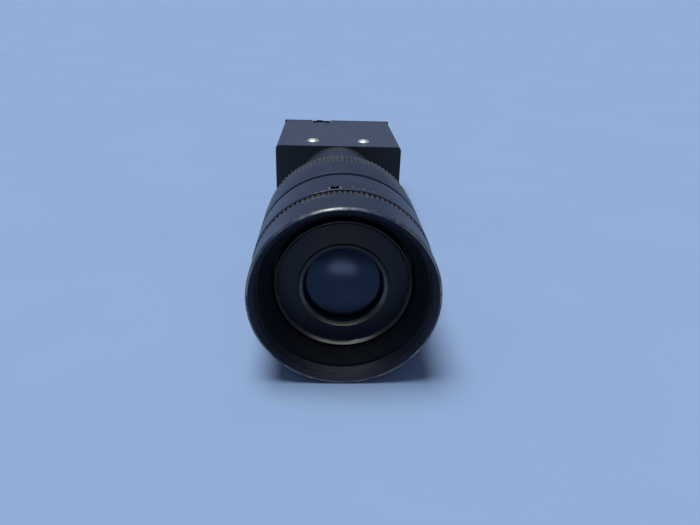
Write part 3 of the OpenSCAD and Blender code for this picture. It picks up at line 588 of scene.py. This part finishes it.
def make_iris_ring():
    """Iris ring: a band of teeth between two shoulders, and a smooth band in front of it."""
    teeth_back = IRIS_BACK + 2.2
    teeth_front = IRIS_BACK + 8.2
    ramp = 0.3
    band_back = IRIS_BACK + 9.0
    outline = rounded([
        (IRIS_BACK, NECK_R + 0.1),
        (IRIS_BACK, SHOULDER_R, 0.25),
        (teeth_back - ramp, SHOULDER_R),
        (teeth_back, RIM_R),
        (teeth_front, RIM_R),
        (teeth_front + ramp, SHOULDER_R),
        (band_back, SHOULDER_R),
        # The band's front edge carries wear and a painted highlight
        (band_back, BARREL_R, 0.25, EDGE_WEAR_AND_GLINT),
        (IRIS_FRONT, BARREL_R, 0.15),
        (IRIS_FRONT, HUB_CLEAR_R),
        (IRIS_BACK + WEB_LEN, HUB_CLEAR_R),
        (IRIS_BACK + WEB_LEN, NECK_R + 0.1),
    ])
    knurl = Knurl(teeth_back - ramp / 2, teeth_front + ramp / 2, RIM_R, TOOTH_DEPTH)
    mesh = turned_mesh("iris_control_ring", outline, LENS, knurl=knurl)
    piece = finish_piece("iris_control_ring", mesh, "lens_black", "iris_ring", ["iris_ring"])
    low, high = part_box("iris_drive_screw")
    seat = BARREL_R - 1.2
    profile = [
        (HUB_CLEAR_R - 1, DRIVE_SHANK_R),
        (seat, DRIVE_SHANK_R),
        (seat, DRIVE_HEAD_R),
        (BARREL_R + 1, DRIVE_HEAD_R),
    ]
    place = radial_place(DRIVE_SCREW_ANGLE, ahead((low.y + high.y) / 2))
    return cut(piece, [bore_cutter(profile, place, MATERIALS["lens_black"])])


def scale_cutters():
    """Shallow engraved strokes of a plain scale, and two brighter ones beside the lock screw."""
    depth = 0.12
    half_w = 0.16
    strokes_front = BARREL_FRONT - 0.7
    first_angle = 85
    spacing = 3.1
    lengths = (2.6, 1.5, 2.6, 1.5, 2.6)
    strokes = [(first_angle - spacing * i, length, PAINTED_STROKE) for i, length in enumerate(lengths)]
    beside_screw = 3.3
    bright_length = 1.9
    for side in (-1, 1):
        strokes.append((LOCK_SCREW[0] + side * beside_screw, bright_length, BRIGHT_STROKE))
    cutters = []
    for angle, length, paint in strokes:
        low = (0, -half_w, BARREL_R - depth)
        high = (length, half_w, BARREL_R + 0.5)
        cutters.append(box_cutter(low, high, radial_place(angle, strokes_front), paint))
    return cutters


def make_fixed_barrel():
    """Fixed barrel: outer shell, web and inner guide sleeve, with lock screw hole and guide slots."""
    outline = rounded([
        (BARREL_INNER_BACK, WEB_BORE_R),
        (BARREL_INNER_BACK, SPIGOT_R),
        (BARREL_BACK, SPIGOT_R),
        (BARREL_BACK, BARREL_R - BARREL_BEVEL, 0.1),
        (BARREL_BACK + BARREL_BEVEL, BARREL_R, 0.35),
        (BARREL_FRONT, BARREL_R, 0.2, 0.2),
        (BARREL_FRONT, BARREL_BORE_R),
        (BARREL_WEB, BARREL_BORE_R),
        (BARREL_WEB, GUIDE_R),
        (GUIDE_FRONT, GUIDE_R),
        (GUIDE_FRONT, GUIDE_BORE_R),
        (BARREL_WEB, GUIDE_BORE_R),
        (BARREL_WEB, WEB_BORE_R),
    ])
    mesh = turned_mesh("fixed_barrel_shell", outline, LENS, segments=WIDE_STEPS)
    piece = finish_piece("fixed_barrel_shell", mesh, "lens_black", "camera", ["fixed_barrel"])
    angle, s, r = LOCK_SCREW
    profile = [(BARREL_BORE_R - 1, r), (BARREL_R - 0.15, r), (BARREL_R + 0.3, r + 0.45)]
    cutters = [bore_cutter(profile, radial_place(angle, s), MATERIALS["inner_black"])]
    for angle in PIN_ANGLES:
        low = (-FOCUS_TRAVEL - PIN_R, -PIN_R, GUIDE_BORE_R - 1)
        high = (PIN_R, PIN_R, GUIDE_R + 0.5)
        cutters.append(box_cutter(low, high, radial_place(angle, PIN_S), MATERIALS["lens_black"]))
    return cut(piece, cutters + scale_cutters())


def filter_thread(front, back, root_r):
    """Rings of a fine thread between two places, as (s, r) corners from front to back."""
    pitch = 0.75
    depth = 0.25
    turns = int((front - back) / pitch)
    corners = []
    for i in range(turns):
        s = front - i * pitch
        corners.append((s, root_r))
        corners.append((s - 0.35 * pitch, root_r + depth))
        corners.append((s - 0.5 * pitch, root_r + depth))
        corners.append((s - 0.85 * pitch, root_r))
    return corners


def make_focus_ring():
    """Focus ring: skirt, a narrow band of teeth, a smooth band, and the deep front recess."""
    teeth_back = FOCUS_BACK + 0.4
    teeth_front = FOCUS_BACK + 2.5
    ramp = 0.3
    band_back = FOCUS_BACK + 3.1
    cone_front = RIM - 5
    throat = FOCUS_BACK + 2.2
    pin_clearance = 1.1
    outline = rounded([
        (SKIRT_BACK, GUIDE_R + 0.05),
        (SKIRT_BACK, SKIRT_R, 0.1),
        (FOCUS_BACK, SKIRT_R),
        (FOCUS_BACK, SHOULDER_R - 0.1, 0.1),
        (teeth_back, RIM_R),
        (teeth_front, RIM_R),
        (teeth_front + ramp, SHOULDER_R),
        (band_back, SHOULDER_R),
        # Band edges and the rim carry wear and a painted highlight
        (band_back, RIM_R, 0.25, EDGE_WEAR_AND_GLINT),
        (RIM - 0.55, RIM_R, 0.3, EDGE_WEAR_AND_GLINT),
        (RIM, RIM_R - 0.35, 0.2, EDGE_WEAR_AND_GLINT),
        (RIM - RIM_BEVEL, FILTER_THREAD_R, 0.1),
        *filter_thread(RIM - 1.5, cone_front, FILTER_THREAD_R),
        (cone_front, FILTER_THREAD_R),
        (cone_front, CONE_R, 0.05),
        (throat + 1, THROAT_R, 0.15),
        (throat, THROAT_R),
        (throat, GUIDE_R + 0.05),
        (PIN_S + FOCUS_TRAVEL + pin_clearance, GUIDE_R + 0.05),
        (PIN_S + FOCUS_TRAVEL + pin_clearance, CHANNEL_R),
        (PIN_S - pin_clearance, CHANNEL_R),
        (PIN_S - pin_clearance, GUIDE_R + 0.05),
    ])
    knurl = Knurl(teeth_back - ramp, teeth_front + ramp / 2, RIM_R, TOOTH_DEPTH)
    mesh = turned_mesh("focus_control_ring", outline, LENS, knurl=knurl)
    piece = finish_piece("focus_control_ring", mesh, "lens_black", "focus_ring", ["focus_ring"])
    # Darker inside the rim: material 1 down to the thread, material 2 for the cone and the rest
    mesh.materials.append(MATERIALS["inner_black"])
    mesh.materials.append(MATERIALS["cone_black"])
    for face in mesh.polygons:
        from_axis = math.hypot(face.center.x, face.center.z - AXIS_Z) / MM
        if from_axis < CONE_R + 0.1:
            face.material_index = 2
        elif from_axis < SHOULDER_R:
            face.material_index = 1
    return piece


def make_lens_cell():
    """Cell of the front glasses: a sliding sleeve with a bright front lip and three pin holes."""
    nose_back = FOCUS_BACK - 0.9
    glass_seat = NAME_BACK - 9.4
    ledge_r = GLASS_R - 1.2
    outline = rounded([
        (CELL_BACK, ledge_r),
        (CELL_BACK, CELL_R, 0.1),
        (nose_back, CELL_R),
        (nose_back, CELL_NOSE_R),
        (CELL_FRONT, CELL_NOSE_R, 0.04),
        (CELL_FRONT, CELL_NOSE_R - 0.1, 0.0, LIP_WEAR),
        (CELL_FRONT - 0.5 * NOSE_BEVEL, 0.5 * (CELL_NOSE_R - 0.1 + NAME_SEAT_R), 0.0, LIP_WEAR),
        (CELL_FRONT - NOSE_BEVEL, NAME_SEAT_R),
        (NAME_BACK, NAME_SEAT_R),
        (NAME_BACK, GLASS_R + 0.02),
        (glass_seat, GLASS_R + 0.02),
        (glass_seat, ledge_r),
    ])
    mesh = turned_mesh("front_lens_cell", outline, LENS, segments=WIDE_STEPS)
    piece = finish_piece("front_lens_cell", mesh, "inner_black", "lens_cell", ["lens_cell"])
    profile = [(CELL_R - 2, PIN_R - 0.05), (CELL_R + 1, PIN_R - 0.05)]
    lining = MATERIALS["inner_black"]
    return cut(piece, [bore_cutter(profile, radial_place(angle, PIN_S), lining) for angle in PIN_ANGLES])


def make_name_ring():
    """Sloping ring round the front glass, left blank, with a bright inner lip."""
    edge = CELL_FRONT - NOSE_BEVEL
    outline = rounded([
        (NAME_BACK, GLASS_SHOW_R),
        (NAME_BACK, NAME_R),
        (edge, NAME_R, 0.08),
        (edge + 0.7, GLASS_R, 0.1),
        (BEZEL_FRONT, GLASS_R - 0.15, 0.06),
        (BEZEL_FRONT, GLASS_R - 0.3, 0.0, LIP_WEAR),
        (BEZEL_FRONT - 0.4, GLASS_R - 0.75, 0.0, LIP_WEAR),
        (BEZEL_FRONT - 0.6, GLASS_SHOW_R),
    ])
    mesh = turned_mesh("blank_name_ring", outline, LENS, segments=WIDE_STEPS)
    return finish_piece("blank_name_ring", mesh, "inner_black", "lens_cell", ["name_ring"])


def sag(curve, r):
    """How far a sphere of radius curve falls back at r from the axis."""
    return curve - math.sqrt(curve ** 2 - r ** 2)


def make_front_glass():
    """Front element with two convex polished faces and a ground cylindrical edge."""
    back, front = span("front_element")
    front_curve = 30.0
    back_curve = 60.0
    steps = 14
    radii = [GLASS_R * i / steps for i in range(steps + 1)]
    outline = [(back + sag(back_curve, r), r, 0.0) for r in radii]
    outline += [(front - sag(front_curve, r), r, 0.0) for r in reversed(radii)]
    mesh = turned_mesh("front_glass", outline, LENS, segments=GLASS_STEPS)
    return finish_piece("front_glass", mesh, "lens_glass", "lens_cell", ["front_element"])


def make_extension_tube():
    """Plain neck tube; the bevels at its ends leave a fine groove at each joint."""
    shoulder = MOUNT_FRONT
    stop_r = MOUNT_THREAD_R - 0.9
    bevel = 0.3
    thread_back = TUBE_FRONT - 4
    outline = rounded([
        (TUBE_BACK, stop_r),
        (TUBE_BACK, MOUNT_THREAD_R - 0.02, 0.1),
        (shoulder, MOUNT_THREAD_R - 0.02),
        (shoulder, NECK_R - bevel, 0.05, 0.6),
        (shoulder + bevel, NECK_R, 0.15, 0.8),
        (TUBE_FRONT - bevel, NECK_R, 0.15, 0.8),
        (TUBE_FRONT, NECK_R - bevel, 0.05, 0.6),
        (TUBE_FRONT, MOUNT_THREAD_R),
        (thread_back, MOUNT_THREAD_R),
        (thread_back, stop_r),
    ])
    mesh = turned_mesh("neck_tube", outline, LENS)
    return finish_piece("neck_tube", mesh, "lens_black", "camera", ["extension_tube"])


make_iris_ring()
make_fixed_barrel()
make_focus_ring()
make_lens_cell()
make_name_ring()
make_front_glass()
make_extension_tube()

# ---------------------------------------------------------------- carried-over CAD nodes

# Widths of softened edges, in millimetres
EDGE_BEVEL = {
    "top_cover": 0.12,
    "front_block": 0.2,
    "base_plate": 0.15,
    "rear_panel": 0.15,
    "mode_switch_body": 0.12,
    "mode_switch_slider": 0.12,
}


def dress_node(name, piece):
    """Gives a CAD node its material and softens its sharp edges."""
    material = MATERIALS[slot_of[name]]
    if not piece.data.materials:
        piece.data.materials.append(None)
    for holder in piece.material_slots:
        holder.link = "OBJECT"
        holder.material = material
    if name in EDGE_BEVEL:
        bevel = piece.modifiers.new("edge_bevel", "BEVEL")
        bevel.width = EDGE_BEVEL[name] * MM
        bevel.segments = 2
        bevel.limit_method = "ANGLE"
        bevel.angle_limit = math.radians(40)
        bevel.use_clamp_overlap = False
        bevel.harden_normals = False


for node_name, node_piece in nodes.items():
    dress_node(node_name, node_piece)

# ---------------------------------------------------------------- floor, light and camera


def make_floor():
    """Pale matte sheet, 24 m wide, that touches the front rim and the rear edge of the base."""
    rim = Vector((0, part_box("focus_ring")[0].y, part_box("focus_ring")[0].z))
    heel = Vector((0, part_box("base_plate")[1].y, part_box("base_plate")[0].z))
    slope = math.atan2(heel.z - rim.z, heel.y - rim.y)
    half_side = 12.0
    bm = bmesh.new()
    bmesh.ops.create_grid(bm, x_segments=2, y_segments=2, size=half_side)
    mesh = bpy.data.meshes.new("floor")
    bm.to_mesh(mesh)
    bm.free()
    floor = bpy.data.objects.new("floor", mesh)
    floor.location = rim
    floor.rotation_euler = (slope, 0, 0)
    mesh.materials.append(finish_material(
        "floor_sheet", (0.42, 0.54, 0.76), 0.9, mottle=0.02, mottle_mm=60, grain_mm=2.0,
        grain_depth=0.01, Specular_IOR_Level=0.0,
    ))
    bpy.context.scene.collection.objects.link(floor)


def add_light(name, kind, energy, location, aim, **settings):
    """Adds a light that points from its location to its aim."""
    data = bpy.data.lights.new(name, kind)
    data.energy = energy
    for key, value in settings.items():
        setattr(data, key, value)
    light = bpy.data.objects.new(name, data)
    light.location = location
    light.rotation_euler = (Vector(aim) - Vector(location)).to_track_quat("-Z", "Y").to_euler()
    bpy.context.scene.collection.objects.link(light)
    return light


def make_lights():
    """Soft overhead light, a small card mirrored in the glass and a softbox mirrored in the lips."""
    world = bpy.data.worlds.new("studio")
    bpy.context.scene.world = world
    world.use_nodes = True
    background = world.node_tree.nodes["Background"]
    background.inputs["Color"].default_value = (0.55, 0.7, 1.0, 1)
    background.inputs["Strength"].default_value = 0.16
    cool = (0.82, 0.91, 1.0)
    centre = Vector((0, FACE_Y, 0))
    add_light(
        "overhead", "SUN", 2.35, centre + Vector((-0.16, 0.0, 1.0)), centre,
        angle=math.radians(30), color=cool,
    )
    glass = Vector((0, FACE_Y - BEZEL_FRONT * MM, AXIS_Z))
    card = add_light(
        "glass_card", "AREA", 0.03, glass + Vector((0, -0.14, -0.032)), glass,
        shape="DISK", size=0.08, color=cool,
    )
    softbox = add_light(
        "front_softbox", "AREA", 0.7, glass + Vector((0, -0.24, 0.44)), glass,
        shape="RECTANGLE", size=0.6, size_y=0.26, color=cool,
    )
    for light in (card, softbox):
        light.visible_diffuse = False
        light.visible_camera = False


def make_camera():
    """Camera in front of the lens and above it, looking back along the object.

    from_face is its place in millimetres from the optical axis at the body's front face, and
    tilt its rotation in degrees.
    """
    from_face = Vector((-4.27, -197.86, 58.77))
    tilt = (65.759, -1.603, -2.028)
    data = bpy.data.cameras.new("view")
    data.sensor_width = 36.0
    data.lens = 28.94
    data.clip_start = 0.01
    camera = bpy.data.objects.new("view", data)
    camera.location = Vector((0, FACE_Y, AXIS_Z)) + from_face * MM
    camera.rotation_euler = Euler([math.radians(degrees) for degrees in tilt], "XYZ")
    bpy.context.scene.collection.objects.link(camera)
    bpy.context.scene.camera = camera


make_floor()
make_lights()
make_camera()
bpy.context.scene.view_settings.view_transform = "Standard"
